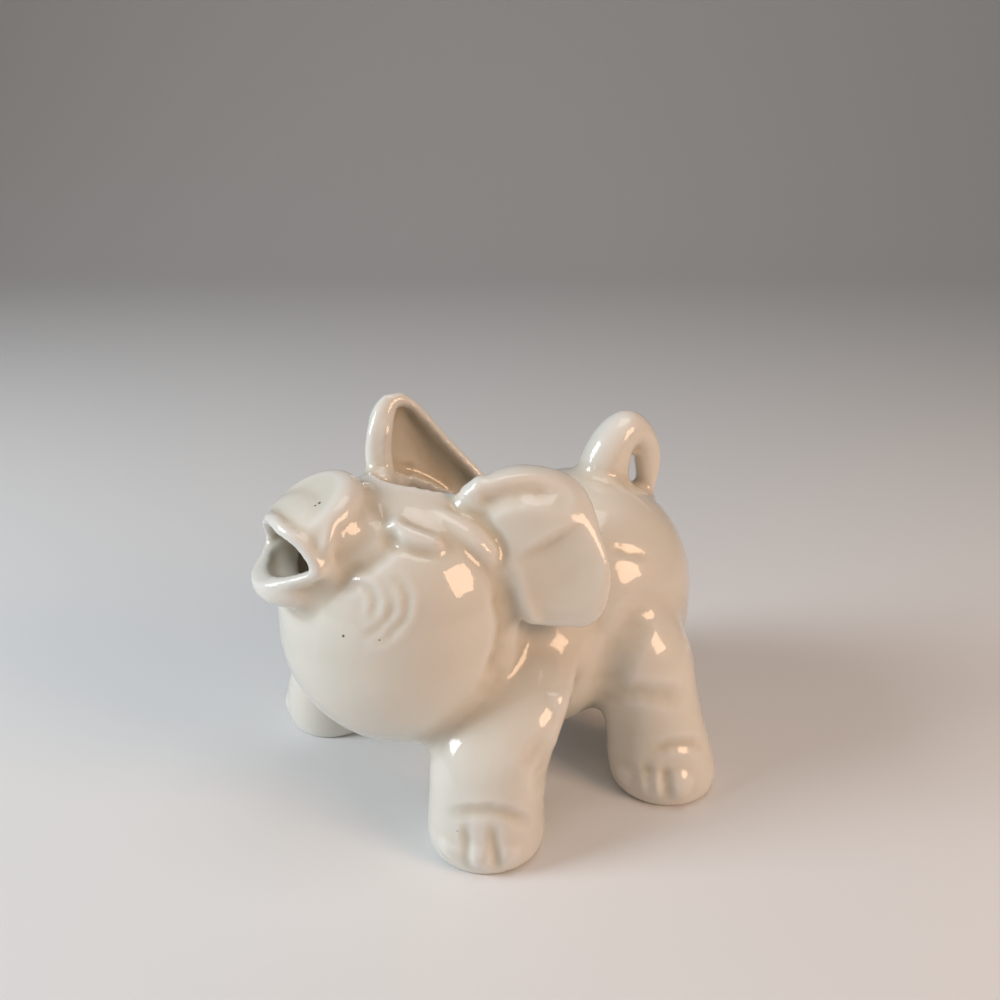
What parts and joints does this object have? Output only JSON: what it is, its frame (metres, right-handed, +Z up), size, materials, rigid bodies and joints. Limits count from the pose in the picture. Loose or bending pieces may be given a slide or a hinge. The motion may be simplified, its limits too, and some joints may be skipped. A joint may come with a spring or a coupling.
{
  "type": "pig creamer",
  "caption": "Small glazed pitcher in the form of a chubby pig looking up: filled between the ears, pours through the open mouth, looped tail as handle, one ear flopped, one ear raised.",
  "frame": {"origin": "On the plane that the four feet stand on, at the middle of the whole outline seen from above.", "axes": "The pig faces -Y, its left side is +X, and +Z is up."},
  "size_m": [0.1194, 0.142, 0.1181],
  "materials": {
    "ivory_glaze": "ivory lead glaze, glossy and unpatterned"
  },
  "bodies": {
    "root": {"head_shell": "ivory_glaze", "body_shell": "ivory_glaze", "snout_spout": "ivory_glaze", "left_ear": "ivory_glaze", "right_ear": "ivory_glaze", "tail_handle": "ivory_glaze", "front_left_leg": "ivory_glaze", "rear_left_leg": "ivory_glaze", "front_right_leg": "ivory_glaze", "rear_right_leg": "ivory_glaze"}
  },
  "joints": []
}
